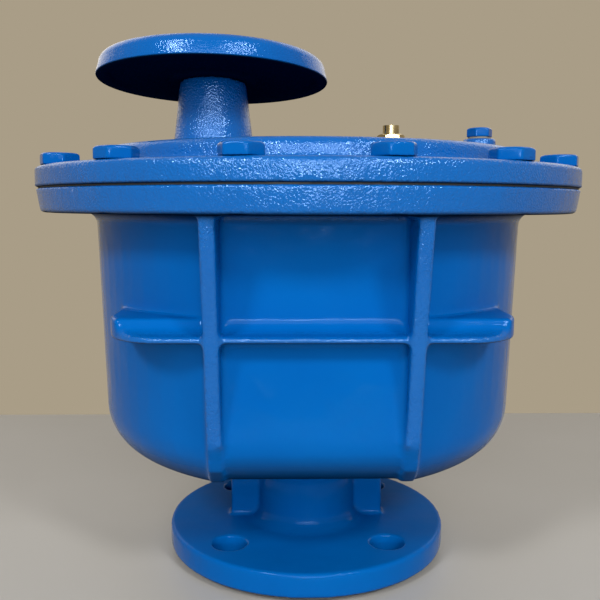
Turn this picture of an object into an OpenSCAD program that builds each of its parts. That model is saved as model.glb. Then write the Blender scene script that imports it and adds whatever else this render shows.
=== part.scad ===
// Combination air release valve with a DN50 pipe flange, in millimetres.
// Origin: centre of the inlet's raised face. +Z is up and -Y is the front.

/* [Inlet flange] */
// Outside diameter of the pipe flange
flange_d = 165; // [160:1:180]
// Height of the pipe flange with its raised face
flange_t = 16.5; // [14:0.5:22]
// Clearance between the raised face and the pipe bolt holes
raised_face_gap = 3.5; // [2:0.5:6]
// Height of the raised face
raised_face_h = 3; // [1:0.5:4]
// Distance from the pipe flange's rim to its bolt circle
flange_edge = 20; // [17:0.5:24]
// Number of pipe bolt holes
flange_holes = 4; // [4:1:8]
// Diameter of the pipe bolt holes
flange_hole_d = 19; // [14:0.5:20]
// Diameter of the inlet bore
inlet_d = 46; // [36:1:48]

/* [Neck] */
// Wall thickness of the neck between flange and bowl
neck_wall = 6; // [5:0.5:9]
// Radius of the fillets at both ends of the neck
neck_fillet = 8; // [3:0.5:10]
// Reach of the side webs beyond the neck
web_reach = 17; // [11:1:20]
// Thickness of the side webs
web_t = 9; // [5:0.5:14]

/* [Bowl] */
// Outside radius of the round wall where the bottom curve starts
bowl_r = 117; // [112:0.5:122]
// Widening of the round wall's radius up to the top face
wall_flare = 3.6; // [0:0.1:5]
// Wall thickness
bowl_wall = 8; // [6:0.5:9]
// Depth of the flat front and back panels, set in from the round wall
panel_cut = 7; // [5:0.5:11]
// Rise of the panels' straight knuckle above the round one
panel_rise = 3.3; // [0:0.1:5]
// Outside radius of the curve from wall to bottom
knuckle_r = 28; // [24:1:36]
// Height of the centre of that curve
knuckle_z = 94; // [88:1:100]
// Slope of the bottom where that curve ends, in degrees
bottom_slope = 20; // [18:1:24]

/* [Ribs] */
// Distance from the middle to each upright rib
rib_x = 46; // [42:0.5:50]
// Thickness of the upright ribs
rib_t = 7; // [5:0.5:9]
// Reach of the upright ribs beyond the panel at the body flange
rib_top_reach = 27; // [20:0.5:32]
// Reach of the upright ribs beyond the panel at the shelf
rib_mid_reach = 13; // [10:0.5:17]
// Reach of the upright ribs beyond the panel low on the wall
rib_low_reach = 3; // [1:0.5:6]
// Radius of the fillets between upright ribs and wall
rib_fillet = 4; // [2:0.5:6]
// Height of the shelf rib above the start of the bottom curve
shelf_rise = 49.5; // [40:0.5:66]
// Thickness of the shelf rib at its edge
shelf_edge = 3.2; // [2:0.1:6]
// Thickness of the shelf rib where it leaves the wall
shelf_root = 10; // [7:0.5:16]
// Reach of the shelf rib beyond the panel
shelf_reach = 12; // [9:0.5:15]
// Distance from the round wall's side to the end of the shelf rib
shelf_inset = 22; // [14:0.5:32]
// Corner radius of the shelf rib
shelf_corner = 27; // [15:1:35]

/* [Body flange and cover] */
// Height of the round wall, from the bottom curve to the top face
wall_h = 118.9; // [114:0.1:128]
// Distance from the round wall's top to the cover bolts
bolt_reach = 19.9; // [19:0.1:22]
// Distance from the cover bolts to the body flange's rim
body_flange_edge = 10.5; // [9:0.5:14]
// Thickness of the body flange
body_flange_t = 12.4; // [11.5:0.1:18]
// Thickness of the cover gasket
gasket_t = 0.8; // [0.5:0.1:3]
// Overhang of the cover's rim beyond the body flange
cover_overhang = 0.5; // [0:0.1:2]
// Thickness of the cover at its bolts
cover_t = 10.6; // [7.5:0.1:13]
// Rounding of the cover's upper rim
cover_round = 1.5; // [0.5:0.1:4]
// Chamfer of both rims at the joint
joint_chamfer = 0.4; // [0.2:0.1:1]
// Distance from the cover bolts to the cover's raised middle
plateau_gap = 21.5; // [17:0.5:24]
// Height of the raised middle above the bolt face
plateau_h = 10.4; // [9:0.1:14]
// Rounding of the raised middle's rim
plateau_round = 4; // [1:0.5:6]
// Depth of the hollow under the cover
cover_recess = 8.3; // [5:0.1:9]
// Number of cover bolts
bolt_count = 14; // [12:1:16]
// Thread diameter of the cover bolts
bolt_d = 12; // [10:1:12]
// Hex size of the cover bolts across flats
bolt_af = 18; // [16:0.5:19]
// Head height of the cover bolts
bolt_head_h = 6; // [5.5:0.5:9]
// Depth of the cover bolts in the body flange
bolt_grip = 11; // [8:0.5:11]

/* [Outlet and hood] */
// Place of the outlet along X
outlet_x = -54.6; // [-60:0.1:-50]
// Wall thickness of the outlet column at its top
column_wall = 5.2; // [4.5:0.1:8]
// Widening of the outlet column on each side towards its foot
column_flare = 4.3; // [3:0.1:7]
// Height of the outlet column
column_h = 39.6; // [36:0.1:50]
// Diameter of the outlet bore
outlet_d = 27; // [22:0.5:28]
// Width of the discharge window in the back of the column
window_w = 24; // [16:0.5:26]
// Height of the discharge window
window_h = 22; // [16:0.5:24]
// Diameter of the hood
hood_d = 131.5; // [120:0.5:150]
// Height of the hood's rim
hood_rim_h = 6.5; // [5:0.1:9]
// Draft of the hood's rim, as the loss of radius over its height
hood_draft = 1.5; // [0:0.1:3]
// Radius of the curve from the hood's rim to its top
hood_edge = 5.5; // [3:0.1:7]
// Lean of the hood to the back, in degrees
hood_lean_back = 3.2; // [0:0.1:4]
// Lean of the hood to the right, in degrees
hood_lean_right = 0.7; // [0:0.1:2]
// Thread diameter of the hood bolt
hood_bolt_d = 10; // [8:1:12]
// Depth of the hood bolt's blind thread in the column
hood_bolt_depth = 7; // [6:0.5:9]

/* [Outlet seat and plug] */
// Width of the seat's flange around its spigot
seat_rim = 5; // [3:0.5:7]
// Thickness of the seat's flange
seat_flange_h = 5; // [4:0.5:7]
// Wall thickness of the seat's threaded spigot
seat_wall = 3.5; // [2.5:0.5:4]
// Length of the seat's threaded spigot
seat_spigot_h = 8; // [5:0.5:10]
// Height of the sealing lip
seat_lip_h = 1.5; // [1:0.1:3]
// Thickness of the gasket above the seat
seat_gasket_t = 1; // [0.5:0.1:2]
// Distance from the seat's rim to the plug disc's rim
plug_inset = 1; // [0:0.5:2]
// Thickness of the plug disc
plug_t = 3; // [2:0.5:5]
// Thickness of the rubber seal
seal_t = 3; // [2:0.5:5]
// Distance from the plug disc down to its pin
plug_drop = 9; // [8.5:0.5:12]
// Diameter of the plug pin
plug_pin_d = 5; // [4:0.5:6]
// Thickness of the plug's two ears
ear_t = 3; // [2:0.5:4]

/* [Lever and float] */
// Distance from the cover's recess wall to the lever pin
pivot_inset = 30.6; // [28:0.1:34]
// Diameter of the lever pin
pivot_pin_d = 6; // [5:0.5:7]
// Swing of the lever from float down to float up, in degrees
lever_swing = 9; // [7:0.5:9]
// Width of the lever
lever_w = 12; // [10:0.5:16]
// Height of the lever
lever_h = 7; // [6.5:0.5:9]
// Length of the lever's tail behind its pin
lever_tail = 12; // [9:0.5:13]
// Clearance between the resting float ball and the bowl's floor
ball_floor_gap = 6.9; // [4:0.1:20]
// Wall thickness of the float ball
ball_wall = 1.2; // [0.8:0.1:3]
// Diameter of the float stem
stem_d = 8; // [6:0.5:9]
// Free length of the stem between ball and lever nut
stem_gap = 2; // [1:0.5:4]
// Thickness of the float nuts
float_nut_h = 5; // [4:0.5:7]

/* [Lever bracket] */
// Thickness of the bracket's top plate
bracket_top_t = 4; // [3:0.5:6]
// Thickness of the bracket's cheeks
cheek_t = 3; // [2.5:0.5:5]
// Width of the bracket's cheeks along X
cheek_w = 20; // [16:0.5:26]
// Distance from the lever pin to the bracket bolt
bracket_bolt_reach = 18.6; // [18:0.1:22]
// Thread diameter of the bracket bolt
bracket_bolt_d = 8; // [6:1:8]
// Hex size of the bracket bolt across flats
bracket_bolt_af = 13; // [11:0.5:14]
// Head height of the bracket bolt
bracket_bolt_head_h = 5.3; // [4:0.1:7]
// Height of the boss under the bracket bolt
boss_h = 8.6; // [6:0.1:11]
// Diameter of the boss under the bracket bolt
boss_d = 19; // [18:0.5:24]
// Thread diameter of the inner bracket screw
bracket_screw_d = 6; // [5:0.5:6]

/* [Bleed nozzle] */
// Distance from the lever pin to the bleed nozzle
nozzle_reach = 33.4; // [31:0.1:36]
// Diameter of the nozzle's spout
nozzle_d = 9.5; // [8:0.1:11]
// Height of the nozzle's spout above its hex
nozzle_spout_h = 5; // [4:0.1:8]
// Hex size of the nozzle across flats
nozzle_af = 14; // [13:0.5:17]
// Height of the nozzle's hex
nozzle_hex_h = 6; // [5:0.1:8]
// Diameter of the nozzle's threaded shank
nozzle_shank_d = 10; // [8:0.5:11]
// Depth of the nozzle's tip below the cover
nozzle_drop = 8; // [6:0.5:9]
// Diameter of the small orifice
orifice_d = 2; // [1:0.1:3]
// Height of the boss under the nozzle
nozzle_boss_h = 4; // [2:0.1:6]
// Thread diameter of the button screw
button_screw_d = 4; // [3:0.5:5]
// Thickness of the rubber button
button_t = 3; // [2.5:0.1:4]

/* [Fits] */
// Radial clearance of threads and running pins
fit_gap = 0.05; // [0.02:0.01:0.08]
// Radial clearance of bolts in plain holes
hole_gap = 0.5; // [0.3:0.1:1]
// Side clearance of parts that swing past each other
side_gap = 0.6; // [0.4:0.1:0.9]
// Gap left at the seats when the float is up
shut_gap = 0.3; // [0.3:0.05:0.6]

/* [Hidden] */
$fn = 64;

epoxy_blue = "#0a5fb4";
brass = "#c9a24a";
bronze = "#b0803f";
stainless = "#c3c7ca";
rubber = "#26282b";
fibre = "#8f8a7c";

// Small overlap that keeps unions and cuts clean
eps = 0.01;
washer_t = 1.5;
clip_t = 1;
clip_rim = 1.5;
rim_round = 2;
pipe_rim_round = 1;
hood_crown = 0.3;

// Diameters and distances of the pipe flange and neck
flange_pcd = flange_d - 2 * flange_edge;
raised_face_d = flange_pcd - flange_hole_d - 2 * raised_face_gap;
neck_d = inlet_d + 2 * neck_wall;
web_half = neck_d / 2 + web_reach;

// Radius of the drafted round wall at a height
function wall_r(z) = bowl_r + wall_flare * (z - knuckle_z) / wall_h;

// Distances from the axis to panels, ribs and shelf
panel_y = bowl_r - panel_cut;
panel_foot_z = knuckle_z + panel_rise;
rib_top_y = panel_y + rib_top_reach;
rib_mid_y = panel_y + rib_mid_reach;
rib_low_y = panel_y + rib_low_reach;
shelf_y = panel_y + shelf_reach;
shelf_half = bowl_r - shelf_inset;
shelf_z = knuckle_z + shelf_rise;

// Diameters of the bolted joint
body_top = knuckle_z + wall_h;
bolt_pcd = 2 * (wall_r(body_top) + bolt_reach);
body_flange_d = bolt_pcd + 2 * body_flange_edge;
cover_d = body_flange_d + 2 * cover_overhang;
plateau_d = bolt_pcd - 2 * plateau_gap;

// Diameters of the outlet
column_top_d = outlet_d + 2 * column_wall;
column_foot_d = column_top_d + 2 * column_flare;
seat_spigot_d = outlet_d + 2 * seat_wall;
seat_d = seat_spigot_d + 2 * seat_rim;
plug_d = seat_d - 2 * plug_inset;

// Heights of the castings
bottom_join_r = bowl_r - knuckle_r + knuckle_r * sin(bottom_slope);
bottom_join_z = knuckle_z - knuckle_r * cos(bottom_slope);
dome_r = bottom_join_r / sin(bottom_slope);
dome_z = bottom_join_z + dome_r * cos(bottom_slope);
function dome_height(r, inset) = dome_z - sqrt(pow(dome_r - inset, 2) - r * r);
body_flange_z = body_top - body_flange_t;
cover_z = body_top + gasket_t;
cover_face = cover_z + cover_t;
plateau_z = cover_face + plateau_h;
cover_under = cover_z + cover_recess;
recess_r = wall_r(body_top) - bowl_wall;
pivot_x = recess_r - pivot_inset;
nozzle_x = pivot_x - nozzle_reach;
hood_z = plateau_z + column_h;
hood_top = hood_rim_h + hood_edge + hood_crown;
column_roof = hood_bolt_depth + 2;
column_base_z = plateau_z - 1;

// Heights of the float gear with the float up
seat_lip_z = cover_under - seat_gasket_t - seat_flange_h - seat_lip_h;
plug_top_z = seat_lip_z - shut_gap;
plug_under_z = plug_top_z - seal_t - plug_t;
lever_z = plug_under_z - plug_drop;
lever_top_z = lever_z + lever_h / 2;
lever_under_z = lever_z - lever_h / 2;
lever_half = lever_w / 2;
stem_foot_h = 5;
stem_foot_d = stem_d + 8;
ball_top_z = lever_under_z - float_nut_h - stem_gap - stem_foot_h;
ball_sink = 1.5;
ball_crown = ball_top_z + ball_sink - lever_z;
ball_floor_z = dome_height(0, bowl_wall) + ball_floor_gap;
ball_d = 2 * (lever_z + ball_crown * cos(lever_swing) - pivot_x * sin(lever_swing) - ball_floor_z)
    / (1 + cos(lever_swing));
ball_z = lever_z + ball_crown - ball_d / 2;
nozzle_tip_z = cover_under - nozzle_drop;
button_top_z = nozzle_tip_z - shut_gap;
button_cup_d = button_screw_d + 6;
button_cup_h = 2.5;
cheek_y = lever_half + side_gap;
bracket_under_z = cover_under - bracket_top_t;
bracket_bolt_x = pivot_x + bracket_bolt_reach;
bracket_screw_x = pivot_x - cheek_w / 2 - bracket_screw_d;
plug_fork_y = lever_half + side_gap;
pin_end = 3;

function arc(cx, cz, r, from, to, steps) =
    [for (i = [0:steps]) let (a = from + (to - from) * i / steps) [cx + r * cos(a), cz + r * sin(a)]];

// Places children once for each cover bolt, straddling the front
module at_cover_bolts() {
    for (i = [0:bolt_count - 1])
        rotate([0, 0, (i + 0.5) * 360 / bolt_count - 90])
            translate([bolt_pcd / 2, 0, 0]) rotate([0, 0, 90]) children();
}

// Places children on the leaning top of the outlet column
module at_hood() {
    translate([outlet_x, 0, hood_z]) rotate([-hood_lean_back, hood_lean_right, 0]) children();
}

// Turns the lever with all it carries from float up to float down
module float_down() {
    translate([pivot_x, 0, lever_z]) rotate([0, -lever_swing, 0])
        translate([-pivot_x, 0, -lever_z]) children();
}

// Lowers the plug with the lever's end while it stays level
module plug_down() {
    arm = pivot_x - outlet_x;
    translate([arm * (1 - cos(lever_swing)), 0, -arm * sin(lever_swing)]) children();
}

module hex(across, height) {
    cylinder(d = across / cos(30), h = height, $fn = 6);
}

// Hex head with a chamfered top, standing on z = 0
module hex_head(across, height) {
    intersection() {
        hex(across, height);
        union() {
            cylinder(d = across / cos(30) + 1, h = height * 0.85, $fn = 48);
            translate([0, 0, height * 0.85])
                cylinder(d1 = across / cos(30), d2 = across * 0.94, h = height * 0.15, $fn = 48);
        }
    }
}

module ring(outer, inner, height) {
    difference() {
        cylinder(d = outer, h = height);
        translate([0, 0, -1]) cylinder(d = inner, h = height + 2);
    }
}

// Pin along Y, centred on the plane y = 0
module cross_pin(d, length) {
    rotate([90, 0, 0]) cylinder(d = d, h = length, center = true);
}

// Bowl outline from its top down to the axis, set in by a wall thickness
function bowl_line(inset, top) = concat(
    [[0, top], [wall_r(top) - inset, top]],
    arc(bowl_r - knuckle_r, knuckle_z, knuckle_r - inset, 0, bottom_slope - 90, 12),
    arc(0, dome_z, dome_r - inset, bottom_slope - 90, -90, 8)
);

// Space between the flat panels, whose feet turn under on a straight knuckle, set in by a wall thickness
module between_panels(inset) {
    r = knuckle_r - inset;
    y = panel_y - knuckle_r;
    foot_y = y + r * sin(bottom_slope);
    foot_z = panel_foot_z - r * cos(bottom_slope);
    translate([-2 * bowl_r, 0, 0]) rotate([90, 0, 90]) linear_extrude(4 * bowl_r) {
        translate([-y - r, panel_foot_z]) square([2 * (y + r), body_top + 1 - panel_foot_z]);
        for (side = [-1, 1])
            translate([side * y, panel_foot_z]) circle(r);
        polygon([[-y, panel_foot_z], [-foot_y, foot_z], [0, foot_z - foot_y * tan(bottom_slope)],
            [foot_y, foot_z], [y, panel_foot_z]]);
    }
}

// Round bowl and flange with flat panels between the upright ribs
module bowl_outside() {
    difference() {
        union() {
            rotate_extrude($fn = 96) polygon(bowl_line(0, body_top));
            body_flange();
        }
        difference() {
            translate([-rib_x, -2 * bowl_r, 0]) cube([2 * rib_x, 4 * bowl_r, body_flange_z]);
            between_panels(0);
        }
    }
}

module bowl_inside() {
    intersection() {
        rotate_extrude($fn = 96) polygon(bowl_line(bowl_wall, body_top + 1));
        between_panels(bowl_wall);
    }
}

module pipe_flange() {
    r = flange_d / 2;
    rotate_extrude($fn = 96) polygon(concat(
        [[0, 0], [raised_face_d / 2, 0], [raised_face_d / 2, raised_face_h]],
        arc(r - 1, raised_face_h + 1, 1, -90, 0, 3),
        arc(r - pipe_rim_round, flange_t - pipe_rim_round, pipe_rim_round, 0, 90, 4),
        [[0, flange_t]]
    ));
}

module neck() {
    r = neck_d / 2;
    f = neck_fillet;
    top = dome_height(r + f, 0);
    rotate_extrude() polygon(concat(
        [[0, flange_t - 1], [r + f, flange_t - 1]],
        arc(r + f, flange_t + f, f, 270, 180, 6),
        arc(r + f, top - f, f, 180, 90, 6),
        [[r + f, top + 3], [0, top + 3]]
    ));
}

module side_webs() {
    foot_z = flange_t - 1;
    translate([-web_half, -web_t / 2, foot_z])
        cube([2 * web_half, web_t, dome_height(web_half, 0) + 2 - foot_z]);
}

module body_flange() {
    r = body_flange_d / 2;
    fillet = 6;
    wall = wall_r(body_flange_z - fillet);
    rotate_extrude($fn = 96) polygon(concat(
        [[wall - 4, body_top], [wall - 4, body_flange_z - fillet], [wall, body_flange_z - fillet]],
        arc(wall + fillet, body_flange_z - fillet, fillet, 180, 90, 6),
        arc(r - 1.5 - rim_round, body_flange_z + rim_round, rim_round, -90, 0, 4),
        [[r, body_top - joint_chamfer], [r - joint_chamfer, body_top]]
    ));
}

module upright_ribs() {
    foot_z = knuckle_z - 0.85 * knuckle_r;
    outline = [
        [panel_y - 20, body_flange_z + 1], [rib_top_y, body_flange_z + 1], [rib_mid_y, shelf_z],
        [rib_low_y, knuckle_z], [panel_y - 3, knuckle_z - knuckle_r / 2], [panel_y - 12, foot_z + 1.5],
        [panel_y - 20, foot_z]
    ];
    for (side = [-1, 1], end = [0, 180])
        rotate([0, 0, end]) translate([side * rib_x + rib_t / 2, 0, 0])
            rotate([0, 0, 180]) rotate([90, 0, 90]) linear_extrude(rib_t) polygon(outline);
}

// Fillets from both sides of the upright ribs to the flat panel and the drafted round wall
module rib_fillets() {
    f = rib_fillet;
    inner_x = rib_x - rib_t / 2;
    outer_x = rib_x + rib_t / 2;
    round_y = sqrt(pow(bowl_r + f, 2) - pow(outer_x + f, 2));
    meet = atan2(round_y, outer_x + f);
    root = bowl_r - bowl_wall / 2;
    root_y = root * sin(meet);
    tilt = atan(wall_flare / wall_h * (bowl_r + f) / round_y);
    height = body_flange_z - knuckle_z + 1;
    for (side = [0, 1], end = [0, 180])
        rotate([0, 0, end]) mirror([side, 0, 0]) translate([0, 0, knuckle_z]) {
            difference() {
                translate([inner_x - f, panel_y - 1, 0]) cube([f + 1, f + 1, height]);
                translate([inner_x - f, panel_y + f, -1]) cylinder(r = f, h = height + 2);
            }
            translate([outer_x + f, round_y, 0]) rotate([-tilt, 0, 0]) difference() {
                linear_extrude(height)
                    polygon([[-f - 1, 0], [0, 0], [root * cos(meet) - outer_x - f, root_y - round_y],
                        [-f - 1, root_y - round_y]]);
                translate([0, 0, -1]) cylinder(r = f, h = height + 2);
            }
        }
}

module shelf_plan() {
    inner = shelf_half - shelf_corner;
    translate([-shelf_half, panel_y - 42]) square([2 * shelf_half, shelf_y - shelf_corner - panel_y + 42]);
    translate([-inner, panel_y - 42]) square([2 * inner, shelf_y - panel_y + 42]);
    for (side = [-1, 1])
        translate([side * inner, shelf_y - shelf_corner]) circle(shelf_corner);
}

module shelf_ribs() {
    fillet = shelf_root - shelf_edge - 0.3;
    profile = [
        [panel_y - 42, 0], [shelf_y, 0], [shelf_y, shelf_edge], [panel_y + fillet, shelf_root - fillet],
        [panel_y + fillet, shelf_root], [panel_y - 42, shelf_root]
    ];
    for (end = [0, 180])
        rotate([0, 0, end]) translate([0, 0, shelf_z]) intersection() {
            linear_extrude(shelf_root) shelf_plan();
            translate([-shelf_half, 0, 0]) rotate([90, 0, 90]) difference() {
                linear_extrude(2 * shelf_half) polygon(profile);
                translate([panel_y + fillet, shelf_root, -1]) cylinder(r = fillet, h = 2 * shelf_half + 2);
            }
        }
}

module body() {
    color(epoxy_blue) difference() {
        union() {
            bowl_outside();
            pipe_flange();
            neck();
            side_webs();
            upright_ribs();
            rib_fillets();
            shelf_ribs();
        }
        bowl_inside();
        translate([0, 0, -1]) cylinder(d = inlet_d, h = knuckle_z);
        for (i = [0:flange_holes - 1])
            rotate([0, 0, (i + 0.5) * 360 / flange_holes])
                translate([flange_pcd / 2, 0, -1]) cylinder(d = flange_hole_d, h = flange_t + 2);
        at_cover_bolts()
            translate([0, 0, body_flange_z - 1]) cylinder(d = bolt_d + 2 * fit_gap, h = body_flange_t + 2);
    }
}

module cover_gasket() {
    color(rubber) translate([0, 0, body_top]) difference() {
        ring(body_flange_d - 2, 2 * recess_r, gasket_t);
        at_cover_bolts() translate([0, 0, -1]) cylinder(d = bolt_d + 2 * hole_gap, h = gasket_t + 2);
    }
}

module cover_plate() {
    r = cover_d / 2;
    p = plateau_d / 2;
    fillet = 3;
    rotate_extrude($fn = 96) polygon(concat(
        [[0, cover_under], [recess_r, cover_under], [recess_r, cover_z]],
        [[r - joint_chamfer, cover_z], [r, cover_z + joint_chamfer]],
        arc(r - cover_round, cover_face - cover_round, cover_round, 0, 90, 5),
        arc(p + fillet, cover_face + fillet, fillet, 270, 180, 5),
        arc(p - plateau_round, plateau_z - plateau_round, plateau_round, 0, 90, 5),
        [[0, plateau_z]]
    ));
}

module outlet_column() {
    foot = column_foot_d / 2;
    top = column_top_d / 2;
    fillet = 5;
    difference() {
        translate([outlet_x, 0, 0]) rotate_extrude() polygon(concat(
            [[0, column_base_z], [foot + fillet, column_base_z]],
            arc(foot + fillet, plateau_z + fillet, fillet, 270, 180, 5),
            [[top, hood_z + 2], [0, hood_z + 2]]
        ));
        at_hood() cylinder(d = 2 * column_foot_d, h = 10);
    }
}

module nozzle_boss() {
    translate([nozzle_x, 0, column_base_z])
        cylinder(d = nozzle_af / cos(30) + 6, h = nozzle_boss_h + plateau_z - column_base_z);
}

module bracket_boss() {
    translate([bracket_bolt_x, 0, column_base_z])
        cylinder(d = boss_d, h = boss_h + plateau_z - column_base_z);
}

module cover() {
    window_z = hood_z - column_roof - window_h;
    color(epoxy_blue) difference() {
        union() {
            cover_plate();
            outlet_column();
            nozzle_boss();
            bracket_boss();
        }
        at_cover_bolts() translate([0, 0, cover_z - 1]) cylinder(d = bolt_d + 2 * hole_gap, h = cover_t + 2);
        translate([outlet_x, 0, cover_under - 1]) {
            cylinder(d = outlet_d, h = hood_z - column_roof - cover_under + 1);
            cylinder(d = seat_spigot_d + 2 * fit_gap, h = seat_spigot_h + 1 + eps);
        }
        translate([outlet_x - window_w / 2, 0, window_z]) cube([window_w, column_foot_d, window_h]);
        at_hood() translate([0, 0, -hood_bolt_depth])
            cylinder(d = hood_bolt_d + 2 * fit_gap, h = hood_bolt_depth + 2);
        translate([nozzle_x, 0, cover_under - 1])
            cylinder(d = nozzle_shank_d + 2 * fit_gap, h = plateau_z + nozzle_boss_h - cover_under + 2);
        translate([bracket_bolt_x, 0, cover_under - 1])
            cylinder(d = bracket_bolt_d + 2 * hole_gap, h = plateau_z + boss_h - cover_under + 2);
        translate([bracket_screw_x, 0, cover_under - 1])
            cylinder(d = bracket_screw_d + 2 * fit_gap, h = 9);
    }
}

module cover_bolts() {
    color(epoxy_blue) at_cover_bolts() translate([0, 0, cover_face]) {
        hex_head(bolt_af, bolt_head_h);
        translate([0, 0, -cover_t - gasket_t - bolt_grip])
            cylinder(d = bolt_d, h = cover_t + gasket_t + bolt_grip + 1);
    }
}

module hood() {
    r = hood_d / 2;
    hub = column_top_d / 2 + 6;
    lip = 6;
    hollow = 2.5;
    color(epoxy_blue) at_hood() difference() {
        rotate_extrude($fn = 96) polygon(concat(
            [[0, 0], [hub, 0], [hub + 2, hollow], [r - lip - 2, hollow], [r - lip, 0], [r - 1, 0], [r, 1]],
            arc(r - hood_draft - hood_edge, hood_rim_h, hood_edge, 0, 80, 6),
            [[r - 5 * hood_edge, hood_top], [0, hood_top]]
        ));
        translate([0, 0, -1]) cylinder(d = hood_bolt_d + 2 * hole_gap, h = hood_top + 2);
    }
}

module hood_washer() {
    color(stainless) at_hood() translate([0, 0, hood_top])
        ring(2.2 * hood_bolt_d, hood_bolt_d + 2 * fit_gap, washer_t);
}

module hood_bolt() {
    head_h = 0.65 * hood_bolt_d;
    grip = hood_top + washer_t;
    reach = grip + hood_bolt_depth - hole_gap;
    color(stainless) at_hood() translate([0, 0, grip]) {
        hex_head(1.6 * hood_bolt_d, head_h);
        translate([0, 0, -reach]) cylinder(d = hood_bolt_d, h = reach + 1);
    }
}

module outlet_seat() {
    lip_d = outlet_d + 4;
    color(bronze) translate([outlet_x, 0, seat_lip_z]) difference() {
        union() {
            cylinder(d = lip_d, h = seat_lip_h + 1);
            translate([0, 0, seat_lip_h]) cylinder(d = seat_d, h = seat_flange_h);
            translate([0, 0, seat_lip_h + 1])
                cylinder(d = seat_spigot_d, h = seat_flange_h + seat_gasket_t + seat_spigot_h - 1);
        }
        translate([0, 0, -1]) cylinder(d = outlet_d, h = cover_under - seat_lip_z + seat_spigot_h + 2);
    }
}

module seat_gasket() {
    color(fibre) translate([outlet_x, 0, cover_under - seat_gasket_t])
        ring(seat_d, seat_spigot_d + 2 * fit_gap, seat_gasket_t);
}

module plug_disc() {
    ear_w = plug_pin_d + 7;
    color(stainless) plug_down() difference() {
        union() {
            translate([outlet_x, 0, plug_under_z]) cylinder(d = plug_d, h = plug_t);
            for (side = [-1, 1])
                translate([outlet_x, side * (plug_fork_y + ear_t / 2), 0]) {
                    translate([-ear_w / 2, -ear_t / 2, lever_z]) cube([ear_w, ear_t, plug_drop + 1]);
                    translate([0, 0, lever_z]) cross_pin(ear_w, ear_t);
                }
        }
        translate([outlet_x, 0, lever_z]) cross_pin(plug_pin_d + 2 * fit_gap, 4 * lever_w);
        translate([outlet_x, 0, plug_under_z - 1]) cylinder(d = button_screw_d + 2 * fit_gap, h = plug_t + 2);
    }
}

module plug_seal() {
    color(rubber) plug_down() translate([outlet_x, 0, plug_under_z + plug_t])
        ring(plug_d - 2, button_screw_d + 2 * fit_gap, seal_t);
}

module seal_screw() {
    color(stainless) plug_down() translate([outlet_x, 0, plug_top_z]) {
        cylinder(d = 2 * button_screw_d + 4, h = 1.6);
        translate([0, 0, -seal_t - plug_t]) cylinder(d = button_screw_d, h = seal_t + plug_t + 1);
    }
}

module plug_pin() {
    length = 2 * (plug_fork_y + ear_t + side_gap + clip_t + pin_end / 2);
    color(stainless) float_down() translate([outlet_x, 0, lever_z]) cross_pin(plug_pin_d, length);
}

module pin_clip_pair(x, pin_d, inner_y) {
    for (side = [-1, 1])
        translate([x, side * (inner_y + clip_t / 2), lever_z]) rotate([90, 0, 0])
            translate([0, 0, -clip_t / 2]) ring(pin_d + 2 * clip_rim, pin_d + 2 * fit_gap, clip_t);
}

module plug_pin_clips() {
    color(stainless) float_down() pin_clip_pair(outlet_x, plug_pin_d, plug_fork_y + ear_t + side_gap);
}

module lever_bar() {
    start = outlet_x - plug_pin_d - 2;
    length = pivot_x + lever_tail - start;
    translate([start, -lever_half, lever_under_z]) cube([length, lever_w, lever_h]);
}

module lever() {
    color(stainless) float_down() difference() {
        lever_bar();
        translate([pivot_x, 0, lever_z]) cross_pin(pivot_pin_d + 2 * fit_gap, 2 * lever_w);
        translate([outlet_x, 0, lever_z]) cross_pin(plug_pin_d + 2 * fit_gap, 2 * lever_w);
        translate([0, 0, lever_under_z - 1]) cylinder(d = stem_d + 2 * fit_gap, h = lever_h + 2);
        translate([nozzle_x, 0, lever_under_z - 1])
            cylinder(d = button_screw_d + 2 * fit_gap, h = lever_h + 2);
    }
}

module lever_pin() {
    length = 2 * (cheek_y + cheek_t + clip_t + pin_end / 2);
    color(stainless) translate([pivot_x, 0, lever_z]) cross_pin(pivot_pin_d, length);
}

module lever_pin_clips() {
    color(stainless) pin_clip_pair(pivot_x, pivot_pin_d, cheek_y + cheek_t);
}

module lever_bracket() {
    half = cheek_y + cheek_t;
    plate_left = bracket_screw_x - bracket_screw_d - 1;
    plate_right = bracket_bolt_x + 0.7 * bracket_bolt_d;
    lug_x = lever_tail - 5;
    tail_top = lever_tail * sin(lever_swing) + lever_h / 2;
    color(stainless) difference() {
        union() {
            translate([plate_left, -half, bracket_under_z])
                cube([plate_right - plate_left, 2 * half, bracket_top_t]);
            for (side = [-1, 1])
                translate([pivot_x, side * (cheek_y + cheek_t / 2), 0]) {
                    translate([-cheek_w / 2, -cheek_t / 2, lever_z])
                        cube([cheek_w, cheek_t, bracket_under_z - lever_z + 1]);
                    translate([0, 0, lever_z]) cross_pin(cheek_w, cheek_t);
                }
            translate([pivot_x + lug_x, -cheek_y - 1, lever_z + tail_top + shut_gap])
                cube([lever_tail - lug_x, 2 * cheek_y + 2, bracket_under_z - lever_z - tail_top]);
        }
        translate([pivot_x, 0, lever_z]) cross_pin(pivot_pin_d + 2 * fit_gap, 4 * half);
        translate([bracket_bolt_x, 0, bracket_under_z - 1])
            cylinder(d = bracket_bolt_d + 2 * fit_gap, h = bracket_top_t + 2);
        translate([bracket_screw_x, 0, bracket_under_z - 1])
            cylinder(d = bracket_screw_d + 2 * hole_gap, h = bracket_top_t + 2);
    }
}

module bracket_seal() {
    color(fibre) translate([bracket_bolt_x, 0, plateau_z + boss_h])
        ring(bracket_bolt_af, bracket_bolt_d + 2 * fit_gap, 1);
}

module bracket_bolt() {
    color(epoxy_blue) translate([bracket_bolt_x, 0, plateau_z + boss_h + 1]) {
        hex_head(bracket_bolt_af, bracket_bolt_head_h);
        translate([0, 0, bracket_under_z - plateau_z - boss_h - 1])
            cylinder(d = bracket_bolt_d, h = plateau_z + boss_h + 2 - bracket_under_z);
    }
}

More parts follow.
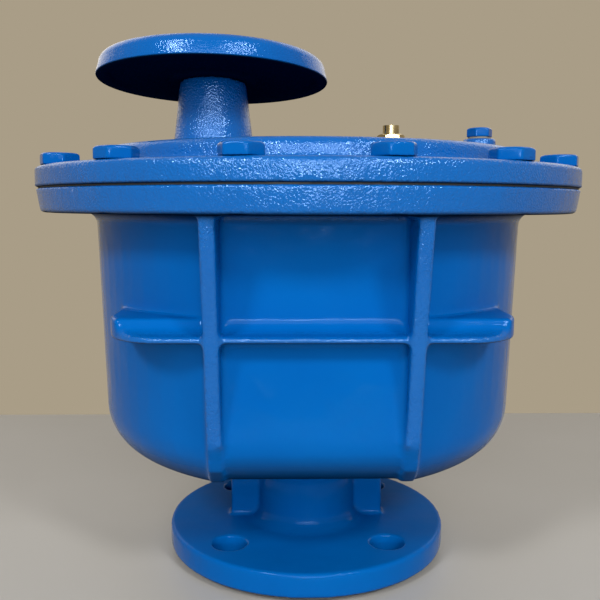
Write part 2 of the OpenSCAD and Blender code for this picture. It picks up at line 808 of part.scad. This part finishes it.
module bracket_screw() {
    head_h = 0.65 * bracket_screw_d;
    color(stainless) translate([bracket_screw_x, 0, bracket_under_z]) {
        translate([0, 0, -head_h]) hex(1.6 * bracket_screw_d, head_h);
        translate([0, 0, -1]) cylinder(d = bracket_screw_d, h = bracket_top_t + 8);
    }
}

module float_ball() {
    color(stainless) float_down() translate([0, 0, ball_z]) difference() {
        sphere(d = ball_d);
        sphere(d = ball_d - 2 * ball_wall);
    }
}

module float_stem() {
    color(stainless) float_down() {
        difference() {
            translate([0, 0, ball_top_z - 4]) cylinder(d = stem_foot_d, h = stem_foot_h + 4);
            translate([0, 0, ball_z]) sphere(d = ball_d);
        }
        translate([0, 0, ball_top_z + stem_foot_h - 1])
            cylinder(d = stem_d, h = lever_top_z + float_nut_h + 3 - ball_top_z - stem_foot_h + 1);
    }
}

module float_nuts() {
    color(stainless) float_down()
        for (z = [lever_under_z - float_nut_h, lever_top_z])
            translate([0, 0, z]) difference() {
                hex(1.6 * stem_d, float_nut_h);
                translate([0, 0, -1]) cylinder(d = stem_d + 2 * fit_gap, h = float_nut_h + 2);
            }
}

module bleed_nozzle() {
    seat_z = plateau_z + nozzle_boss_h + 1;
    color(brass) translate([nozzle_x, 0, 0]) difference() {
        union() {
            translate([0, 0, seat_z]) hex_head(nozzle_af, nozzle_hex_h);
            translate([0, 0, seat_z]) cylinder(d = nozzle_d, h = nozzle_hex_h + nozzle_spout_h);
            translate([0, 0, nozzle_tip_z + 3])
                cylinder(d = nozzle_shank_d, h = seat_z + 1 - nozzle_tip_z - 3);
            translate([0, 0, nozzle_tip_z]) cylinder(d1 = orifice_d + 3, d2 = nozzle_shank_d, h = 3);
        }
        translate([0, 0, nozzle_tip_z - 1])
            cylinder(d = orifice_d, h = seat_z + nozzle_hex_h + nozzle_spout_h + 2 - nozzle_tip_z);
        translate([0, 0, nozzle_tip_z + 5])
            cylinder(d = nozzle_d - 4, h = seat_z + nozzle_hex_h + nozzle_spout_h - nozzle_tip_z);
    }
}

module nozzle_washer() {
    color(bronze) translate([nozzle_x, 0, plateau_z + nozzle_boss_h])
        ring(nozzle_af + 4, nozzle_shank_d + 2 * fit_gap, 1);
}

module button_screw() {
    cup_z = button_top_z - button_t;
    color(stainless) float_down() translate([nozzle_x, 0, 0]) {
        translate([0, 0, lever_under_z - 2]) cylinder(d = button_screw_d, h = cup_z - lever_under_z + 2);
        difference() {
            translate([0, 0, cup_z - 1]) cylinder(d = button_cup_d, h = button_cup_h);
            translate([0, 0, cup_z]) cylinder(d = button_cup_d - 2, h = button_cup_h);
        }
    }
}

module button_locknut() {
    color(stainless) float_down() translate([nozzle_x, 0, lever_top_z]) difference() {
        hex(1.75 * button_screw_d, 3);
        translate([0, 0, -1]) cylinder(d = button_screw_d + 2 * fit_gap, h = 5);
    }
}

module orifice_button() {
    color(rubber) float_down() translate([nozzle_x, 0, button_top_z - button_t])
        cylinder(d = button_cup_d - 2, h = button_t);
}

body();
cover_gasket();
cover();
cover_bolts();
hood();
hood_washer();
hood_bolt();
outlet_seat();
seat_gasket();
plug_disc();
plug_seal();
seal_screw();
plug_pin();
plug_pin_clips();
lever();
lever_pin();
lever_pin_clips();
lever_bracket();
bracket_seal();
bracket_bolt();
bracket_screw();
float_ball();
float_stem();
float_nuts();
bleed_nozzle();
nozzle_washer();
button_screw();
button_locknut();
orifice_button();
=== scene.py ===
"""Flanged air release valve: cast skins, painted bolts, brass nozzle, float gear, light and camera."""

import math

import bmesh
import bpy
from mathutils import Euler, Matrix, Vector


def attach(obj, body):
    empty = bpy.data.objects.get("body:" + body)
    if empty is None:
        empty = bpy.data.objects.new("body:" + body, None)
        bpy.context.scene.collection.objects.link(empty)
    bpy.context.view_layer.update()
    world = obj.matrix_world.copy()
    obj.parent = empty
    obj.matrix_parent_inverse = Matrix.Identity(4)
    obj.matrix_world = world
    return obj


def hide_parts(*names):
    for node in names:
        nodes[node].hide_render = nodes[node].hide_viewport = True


MM = 0.001

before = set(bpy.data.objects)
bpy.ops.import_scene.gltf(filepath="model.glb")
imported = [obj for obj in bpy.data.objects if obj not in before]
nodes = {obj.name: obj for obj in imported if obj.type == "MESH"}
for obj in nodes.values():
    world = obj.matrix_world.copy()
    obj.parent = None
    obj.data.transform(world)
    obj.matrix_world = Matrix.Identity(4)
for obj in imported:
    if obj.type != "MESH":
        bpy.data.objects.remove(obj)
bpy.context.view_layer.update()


# Nodes of materials

def linear(hex_colour):
    """Linear RGBA of an sRGB hex colour."""
    parts = [int(hex_colour[i:i + 2], 16) / 255 for i in (1, 3, 5)]
    return [c / 12.92 if c <= 0.04045 else ((c + 0.055) / 1.055) ** 2.4 for c in parts] + [1.0]


def add(tree, kind, inputs=None, **settings):
    """Adds one node with its settings, its socket values and the links to its sockets."""
    made = tree.nodes.new(kind)
    for name, value in settings.items():
        setattr(made, name, value)
    for name, value in (inputs or {}).items():
        if isinstance(value, bpy.types.NodeSocket):
            tree.links.new(value, made.inputs[name])
        else:
            made.inputs[name].default_value = value
    return made


def per_metre(size_mm):
    """Texture scale that gives features of one size."""
    return 1 / (size_mm * MM)


def noise(tree, place, size_mm, detail):
    """Noise from 0 to 1 with features of one size."""
    made = add(tree, "ShaderNodeTexNoise", {"Vector": place, "Scale": per_metre(size_mm), "Detail": detail})
    return made.outputs["Fac"]


def ramp(tree, value, start, end, low=0.0, high=1.0):
    """Runs from low to high, and no further, while a value runs from start to end."""
    made = add(tree, "ShaderNodeMapRange", {"Value": value, "From Min": start, "From Max": end,
                                            "To Min": low, "To Max": high})
    return made.outputs["Result"]


def combine(tree, operation, *values):
    """One step of arithmetic on one or two values."""
    return add(tree, "ShaderNodeMath", dict(enumerate(values)), operation=operation).outputs["Value"]


def blend(tree, share, first, second):
    """A colour between two colours."""
    return add(tree, "ShaderNodeMix", {0: share, 6: first, 7: second}, data_type="RGBA").outputs[2]


def bump(tree, height, depth_mm, under=None):
    """Normals of a relief of one depth, over the normals of another relief where there is one."""
    made = add(tree, "ShaderNodeBump", {"Height": height, "Distance": depth_mm * MM, "Strength": 1.0})
    if under is not None:
        tree.links.new(under, made.inputs["Normal"])
    return made.outputs["Normal"]


def new_material(name):
    """Empty material, its tree, its shader and its object coordinates."""
    made = bpy.data.materials.new(name)
    made.use_nodes = True
    tree = made.node_tree
    shader = tree.nodes["Principled BSDF"]
    place = add(tree, "ShaderNodeTexCoord").outputs["Object"]
    return made, tree, shader, place


# Materials

# Most of a noise lies in this range
noise_middle = 0.3, 0.7

# Paint: its colours and gloss, and the near-black painted shade of faces that look down
painted_shade_colour = linear("#00162e")
sheltered_roughness = 0.55
paint_roughness = 0.08, 0.16
paint_ior = 1.5
paint_mirror_tint = linear("#a8d0ff")
paint_cloud_mm, paint_sheen_mm = 55, 14
plain_shine = 0.1
# Ribs and rims begin at this depth, front and back, beyond the flat panels
proud_mm = 111.5, 114
# Dust lies where the upward part of the normal is in this range
dusty_slope = 0.8, 1.0
dust_roughness = 0.3
dust_shine = 0.15
# Relief: sizes of its features, and depths
grain_size_mm, patch_mm = 1.0, 20
patch_middle, patch_grain = (0.35, 0.65), (0.55, 1.0)
peel_mm, peel_depth_mm = 4, 0.06
wave_mm, wave_depth_mm = 28, 0.9


def epoxy(name, deep, light, grain_mm, heights_mm, shine, painted_shade_slopes):
    """Blue epoxy powder coat fused over sand-cast iron: a gloss skin that follows the grain of the mould.

    The depth of the grain goes from the first to the second of grain_mm between two heights on the valve, and
    the gloss grows with it up to shine. The shade slopes are the range of slopes, the upward part of the
    normal, over which faces go from a near-black painted shade, matt and without shine, to the full paint and
    gloss.
    """
    made, tree, shader, place = new_material(name)
    at = add(tree, "ShaderNodeSeparateXYZ", {"Vector": place}).outputs
    facing = add(tree, "ShaderNodeTexCoord").outputs["Normal"]
    upward = add(tree, "ShaderNodeSeparateXYZ", {"Vector": facing}).outputs["Z"]

    # Faces that look down are painted near black, a painted shade for the shade under the overhangs, and made
    # matt
    painted_shade_mask = ramp(tree, upward, *painted_shade_slopes)
    tint = blend(tree, noise(tree, place, paint_cloud_mm, 3.0), linear(deep), linear(light))
    tree.links.new(blend(tree, painted_shade_mask, painted_shade_colour, tint), shader.inputs["Base Color"])

    # Film thickness varies, so the gloss does too, and dust dulls the faces that look up
    gloss = ramp(tree, noise(tree, place, paint_sheen_mm, 4.0), *noise_middle, *paint_roughness)
    matt = add(tree, "ShaderNodeMix", {0: painted_shade_mask, 2: sheltered_roughness, 3: gloss}).outputs[0]
    dust = ramp(tree, upward, *dusty_slope, 0.0, dust_roughness)
    tree.links.new(combine(tree, "ADD", matt, dust), shader.inputs["Roughness"])

    # Grain and shine are full above the heights, and on what stands proud of the flat panels: ribs and rims
    grain_low, grain_high = grain_mm
    level = ramp(tree, at["Z"], heights_mm[0] * MM, heights_mm[1] * MM, grain_low / grain_high, 1.0)
    proud = ramp(tree, combine(tree, "ABSOLUTE", at["Y"]), proud_mm[0] * MM, proud_mm[1] * MM)
    zone = combine(tree, "MAXIMUM", level, proud)
    polish = ramp(tree, zone, 0.0, 1.0, plain_shine, shine)
    coated = combine(tree, "MULTIPLY", polish, painted_shade_mask)
    clean = ramp(tree, upward, *dusty_slope, 1.0, dust_shine)
    tree.links.new(combine(tree, "MULTIPLY", coated, clean), shader.inputs["Specular IOR Level"])
    shader.inputs["IOR"].default_value = paint_ior
    shader.inputs["Specular Tint"].default_value = paint_mirror_tint

    # Sand grain in uneven patches, over orange peel, over slow waves of the mould
    uneven = ramp(tree, noise(tree, place, patch_mm, 2.0), *patch_middle, *patch_grain)
    amount = combine(tree, "MULTIPLY", zone, uneven)
    sand = combine(tree, "MULTIPLY", noise(tree, place, grain_size_mm, 1.0), amount)
    slow = bump(tree, noise(tree, place, wave_mm, 2.0), wave_depth_mm)
    skin = bump(tree, noise(tree, place, peel_mm, 1.0), peel_depth_mm, slow)
    tree.links.new(bump(tree, sand, grain_high, skin), shader.inputs["Normal"])
    return made


turned_cloud_mm = 6
groove_depth_mm = 0.02
wave_node_rate = 20


def turned_metal(name, dark, bright, axis_mm, radian_mm, roughness):
    """Metal turned on a lathe: fine rings about its axis, brighter where the tool burnished it.

    The rings repeat every 2 pi times radian_mm, since a wave node runs 20 radians in each unit of its scale.
    """
    made, tree, shader, place = new_material(name)
    centred = add(tree, "ShaderNodeMapping", {"Vector": place, "Location": [-c * MM for c in axis_mm]})
    rings = add(tree, "ShaderNodeTexWave", {"Vector": centred.outputs["Vector"],
                                            "Scale": per_metre(radian_mm) / wave_node_rate,
                                            "Distortion": 1.2, "Detail": 2.0, "Detail Scale": 2.0},
                wave_type="RINGS", rings_direction="Z")
    cloud = noise(tree, place, turned_cloud_mm, 4.0)
    tree.links.new(blend(tree, cloud, linear(dark), linear(bright)), shader.inputs["Base Color"])
    tree.links.new(ramp(tree, cloud, *noise_middle, *roughness), shader.inputs["Roughness"])
    shader.inputs["Metallic"].default_value = 1.0
    tree.links.new(bump(tree, rings.outputs["Fac"], groove_depth_mm), shader.inputs["Normal"])
    return made


bloom_mm = 9
moulded_depth_mm = 0.05


def moulded(name, dark, light, grain_mm, roughness, ior):
    """Moulded rubber or pressed fibre: matt, with a fine even grain and a dusty bloom."""
    made, tree, shader, place = new_material(name)
    bloom = noise(tree, place, bloom_mm, 5.0)
    tree.links.new(blend(tree, bloom, linear(dark), linear(light)), shader.inputs["Base Color"])
    tree.links.new(ramp(tree, bloom, *noise_middle, *roughness), shader.inputs["Roughness"])
    shader.inputs["IOR"].default_value = ior
    tree.links.new(bump(tree, noise(tree, place, grain_mm, 2.0), moulded_depth_mm), shader.inputs["Normal"])
    return made


casting_blues = "#0056a4", "#0064b4"
bolt_blues = "#0053a0", "#0060ae"
# Slopes over which the painted shade on faces that look down fades out; the bowl's bottom is painted darker,
# and the hood's range reaches higher, so its whole underside is painted black as shade
open_painted_shade_slopes, hood_painted_shade_slopes = (-0.95, -0.3), (-0.6, -0.05)
valve_axis_mm, nozzle_axis_mm, outlet_axis_mm = (0, 0, 0), (48.6, 0, 0), (-54.6, 0, 0)

# Bowl: smooth and deep blue, with a rough glittering flange
body_epoxy = epoxy("epoxy_on_bowl_casting", *casting_blues, grain_mm=(0.02, 0.5), heights_mm=(196, 201),
                   shine=1.0, painted_shade_slopes=open_painted_shade_slopes)
# Cover: rough all over, so that it glitters where the light is low
cover_epoxy = epoxy("epoxy_on_cover_casting", *casting_blues, grain_mm=(0.45, 0.5), heights_mm=(205, 245),
                    shine=1.0, painted_shade_slopes=open_painted_shade_slopes)
# Hood: finer grain that breaks up the two hot spots on its rim, and an underside painted black as shade
hood_epoxy = epoxy("epoxy_on_hood_casting", *casting_blues, grain_mm=(0.24, 0.24), heights_mm=(0, 300),
                   shine=0.5, painted_shade_slopes=hood_painted_shade_slopes)
# Bolt heads: the same paint on smooth steel, a little darker
bolt_epoxy = epoxy("epoxy_on_steel_bolts", *bolt_blues, grain_mm=(0.02, 0.02), heights_mm=(0, 300),
                   shine=0.2, painted_shade_slopes=open_painted_shade_slopes)
# Stainless: pale grey with a soft shine
stainless = turned_metal("stainless_turned", "#a9adb0", "#c9ccce", valve_axis_mm, radian_mm=0.8,
                         roughness=(0.2, 0.34))
# Brass: pale yellow and bright
brass = turned_metal("brass_turned", "#9d8a5c", "#d0c39c", nozzle_axis_mm, radian_mm=0.6,
                     roughness=(0.18, 0.32))
# Bronze: brown and duller than the brass
bronze = turned_metal("bronze_turned", "#95693a", "#b98a52", outlet_axis_mm, radian_mm=0.8,
                      roughness=(0.26, 0.4))
# Rubber: nearly black, the dark line at the joint
rubber = moulded("rubber_moulded", "#08090b", "#15171a", grain_mm=0.6, roughness=(0.55, 0.75), ior=1.52)
# Fibre: dry grey-brown board
fibre = moulded("fibre_pressed", "#6f6a5e", "#948d7f", grain_mm=0.9, roughness=(0.7, 0.9), ior=1.5)


# Shapes

weld_mm = 0.002


def put(name, data):
    """A new object in the scene."""
    made = bpy.data.objects.new(name, data)
    bpy.context.scene.collection.objects.link(made)
    return made


def written(shape, mesh):
    """A mesh that takes over an edited shape."""
    shape.to_mesh(mesh)
    shape.free()
    return mesh


def piece(name, mesh, material, body, slot, *replaced):
    """Puts a mesh in the scene as a piece that rides on a body and stands for CAD nodes."""
    made = put(name, mesh)
    mesh.materials.clear()
    mesh.materials.append(material)
    mesh.shade_smooth()
    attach(made, body)
    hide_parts(*replaced)


def applied(mesh, kind, **settings):
    """A mesh after one modifier."""
    holder = put("holder", mesh)
    modifier = holder.modifiers.new(kind, kind)
    for name, value in settings.items():
        setattr(modifier, name, value)
    graph = bpy.context.evaluated_depsgraph_get()
    result = bpy.data.meshes.new_from_object(holder.evaluated_get(graph))
    bpy.data.objects.remove(holder)
    return result


def cast_skin(node, cell_mm, rounds, share, soft_from_mm, soft_to_mm=math.inf):
    """A cast copy of a CAD solid: corners rounded as by sand and thick paint.

    Only points between two heights are rounded, and share of the triangles is kept, most where the form bends.
    """
    mesh = nodes[node].data.copy()
    shape = bmesh.new()
    shape.from_mesh(mesh)
    bmesh.ops.remove_doubles(shape, verts=shape.verts, dist=weld_mm * MM)
    mesh = applied(written(shape, mesh), "REMESH", mode="VOXEL", voxel_size=cell_mm * MM)
    shape = bmesh.new()
    shape.from_mesh(mesh)
    soft = [v for v in shape.verts if soft_from_mm <= (v.co / MM).z <= soft_to_mm]
    for _ in range(rounds):
        bmesh.ops.smooth_vert(shape, verts=soft, factor=0.5, use_axis_x=True, use_axis_y=True, use_axis_z=True)
    return applied(written(shape, mesh), "DECIMATE", ratio=share)


def spun(profile_mm, steps, place):
    """A closed turned form: a profile of radius and height about the Z axis, then put in place."""
    shape = bmesh.new()
    points = [shape.verts.new((r * MM, 0, z * MM)) for r, z in profile_mm]
    edges = [shape.edges.new(pair) for pair in zip(points, points[1:])]
    bmesh.ops.spin(shape, geom=points + edges, cent=(0, 0, 0), axis=(0, 0, 1), angle=math.tau, steps=steps,
                   use_merge=True)
    bmesh.ops.remove_doubles(shape, verts=shape.verts, dist=weld_mm * MM)
    bmesh.ops.recalc_face_normals(shape, faces=shape.faces)
    shape.transform(place)
    return written(shape, bpy.data.meshes.new("spun"))


def arc(r, z, radius, start, end, steps):
    """Points of an arc about (r, z), angles in degrees."""
    turns = [math.radians(start + (end - start) * i / steps) for i in range(steps + 1)]
    return [(r + radius * math.cos(a), z + radius * math.sin(a)) for a in turns]


# Castings and painted bolts: the faces at the pipe, at the joint and under the bolt heads stay crisp
pipe_face_mm, body_joint_mm, cover_joint_mm, bolt_seat_mm, boss_seat_mm = 1.5, 211, 215.5, 222, 240
body_skin = cast_skin("body", cell_mm=1.1, rounds=4, share=0.23, soft_from_mm=pipe_face_mm,
                      soft_to_mm=body_joint_mm)
cover_skin = cast_skin("cover", cell_mm=1.1, rounds=5, share=0.3, soft_from_mm=cover_joint_mm)
bolts_skin = cast_skin("cover_bolts", cell_mm=0.6, rounds=4, share=0.3, soft_from_mm=bolt_seat_mm)
bracket_bolt_skin = cast_skin("bracket_bolt", cell_mm=0.4, rounds=4, share=0.5, soft_from_mm=boss_seat_mm)
piece("body_casting", body_skin, body_epoxy, "valve_body", "blue_epoxy_casting", "body")
piece("cover_casting", cover_skin, cover_epoxy, "valve_body", "blue_epoxy_casting", "cover")
piece("cover_bolt_heads", bolts_skin, bolt_epoxy, "valve_body", "blue_epoxy_steel", "cover_bolts")
piece("bracket_bolt_head", bracket_bolt_skin, bolt_epoxy, "valve_body", "blue_epoxy_steel", "bracket_bolt")

# Hood: a shallow dish with a drafted rim, leaning on the outlet column
hood_seat_mm = (-54.6, 0, 274.3)
hood_lean_back, hood_lean_right = 3.2, 0.7
hood_steps = 144
# Radii, rounds and heights of its profile in millimetres
bolt_hole_r, hub_r, hollow_r, lip_r, rim_r = 5.5, 23.9, 56.8, 60.9, 65.75
bevel, hollow, lip_round, foot_round, edge_round, edge_z, top = 0.4, 2.5, 1.0, 1.2, 5.5, 6.5, 12.3
rim_draft = 1.5
hub_and_hollow = [(bolt_hole_r, bevel), (bolt_hole_r + bevel, 0), (hub_r, 0), (hub_r + 1, 0.5),
                  (hub_r + 2.5, 2.1), (hub_r + 3.5, hollow), (hollow_r, hollow), (hollow_r + 1.2, 2.1),
                  (hollow_r + 2.4, 0.5)]
lip_and_rim = (arc(lip_r, lip_round, lip_round, 240, 270, 3)
               + arc(rim_r - foot_round, foot_round, foot_round, 270, 358, 6)
               + arc(rim_r - rim_draft - edge_round, edge_z, edge_round, 0, 80, 12))
crown_and_hole = [(52, top - 0.25), (38, top - 0.05), (7, top), (bolt_hole_r + bevel, top),
                  (bolt_hole_r, top - bevel), (bolt_hole_r, bevel)]
hood_lean = Euler((math.radians(-hood_lean_back), math.radians(hood_lean_right), 0))
hood_place = Matrix.Translation(Vector(hood_seat_mm) * MM) @ hood_lean.to_matrix().to_4x4()
hood_skin = spun(hub_and_hollow + lip_and_rim + crown_and_hole, hood_steps, hood_place)
piece("hood_dish", hood_skin, hood_epoxy, "valve_body", "blue_epoxy_casting", "hood")


# Carried-over nodes get their finish
finishes = {
    stainless: ["hood_washer", "hood_bolt", "plug_disc", "seal_screw", "plug_pin", "plug_pin_clips", "lever",
                "lever_pin", "lever_pin_clips", "lever_bracket", "bracket_screw", "float_ball", "float_stem",
                "float_nuts", "button_screw", "button_locknut"],
    brass: ["bleed_nozzle"],
    bronze: ["outlet_seat", "nozzle_washer"],
    rubber: ["cover_gasket", "plug_seal", "orifice_button"],
    fibre: ["seat_gasket", "bracket_seal"],
}
for finish, names in finishes.items():
    for name in names:
        nodes[name].data.materials.clear()
        nodes[name].data.materials.append(finish)


# Camera at the photograph's place, fitted to the outlines of the flanges: angles in degrees, and a lens of
# 762.6 pixels on a frame of 600 by 600
camera_mm = (-13.87, -452.88, 204.9)
camera_heading, camera_dip, camera_roll = -1.224, 7.124, 0.161
camera_data = bpy.data.cameras.new("camera")
camera_data.sensor_width = 36
camera_data.lens = 45.76
camera_data.clip_start = 0.01
camera = put("camera", camera_data)
turn = (Matrix.Rotation(math.radians(camera_heading), 4, "Z")
        @ Matrix.Rotation(math.radians(90 - camera_dip), 4, "X")
        @ Matrix.Rotation(math.radians(camera_roll), 4, "Z"))
camera.matrix_world = Matrix.Translation(Vector(camera_mm) * MM) @ turn
bpy.context.scene.camera = camera


# Soft lamps: two keys for the hot spots on the hood, a fill, a low card for the glitter, and two behind
def softbox(name, place_mm, aim_z_mm, size_mm, watts, colour):
    """An area lamp that faces a point on the valve's axis."""
    lamp = bpy.data.lights.new(name, "AREA")
    lamp.shape = "RECTANGLE"
    lamp.size, lamp.size_y = (side * MM for side in size_mm)
    lamp.energy = watts
    lamp.color = linear(colour)[:3]
    made = put(name, lamp)
    made.location = Vector(place_mm) * MM
    away = Vector(place_mm) - Vector((0, 0, aim_z_mm))
    made.rotation_euler = away.to_track_quat("Z", "Y").to_euler()


white, cool, warm = "#ffffff", "#f8f9ff", "#fff8ee"
softbox("key_left", (-600, -890, 850), aim_z_mm=170, size_mm=(200, 200), watts=6, colour=white)
softbox("key_right", (550, -940, 850), aim_z_mm=170, size_mm=(200, 200), watts=6, colour=white)
softbox("front_fill", (0, -1350, 620), aim_z_mm=170, size_mm=(1300, 560), watts=8.5, colour=cool)
softbox("front_card", (0, -1400, 330), aim_z_mm=200, size_mm=(520, 100), watts=3.8, colour=white)
softbox("back_left", (-850, 1150, 1050), aim_z_mm=150, size_mm=(1500, 1200), watts=6.5, colour=warm)
softbox("back_right", (850, 1150, 1050), aim_z_mm=150, size_mm=(1500, 1200), watts=6, colour=warm)

# Pale table, with its back edge where the photograph's is
table_front, table_back, table_half = -520, 280, 800
table_cloud_mm = 120
table_shape = bmesh.new()
bmesh.ops.create_grid(table_shape, x_segments=1, y_segments=1, size=MM)
bmesh.ops.scale(table_shape, verts=table_shape.verts, vec=(table_half, (table_back - table_front) / 2, 1))
bmesh.ops.translate(table_shape, verts=table_shape.verts, vec=(0, (table_back + table_front) / 2 * MM, 0))
table_mesh = written(table_shape, bpy.data.meshes.new("table"))
table = put("table", table_mesh)
painted, tree, shader, place = new_material("table_matt_paint")
table_tint = blend(tree, noise(tree, place, table_cloud_mm, 3.0), linear("#b8b5ae"), linear("#c1beb8"))
tree.links.new(table_tint, shader.inputs["Base Color"])
shader.inputs["Roughness"].default_value = 0.5
table_mesh.materials.append(painted)

# Pale surroundings: a warm wall to the eye and in mirrors, and little light of their own
world = bpy.data.worlds.new("surroundings")
bpy.context.scene.world = world
world.use_nodes = True
tree = world.node_tree
path = add(tree, "ShaderNodeLightPath").outputs
mirrored = combine(tree, "MAXIMUM", path["Is Glossy Ray"], path["Is Transmission Ray"])
shown = combine(tree, "MAXIMUM", path["Is Camera Ray"], mirrored)
seen = add(tree, "ShaderNodeBackground", {"Color": linear("#a99d87"), "Strength": 1.0})
lit = add(tree, "ShaderNodeBackground", {"Color": linear("#d4d4d6"), "Strength": 0.03})
both = add(tree, "ShaderNodeMixShader", {0: shown, 1: lit.outputs[0], 2: seen.outputs[0]})
tree.links.new(both.outputs[0], tree.nodes["World Output"].inputs["Surface"])

bpy.context.scene.view_settings.view_transform = "Standard"
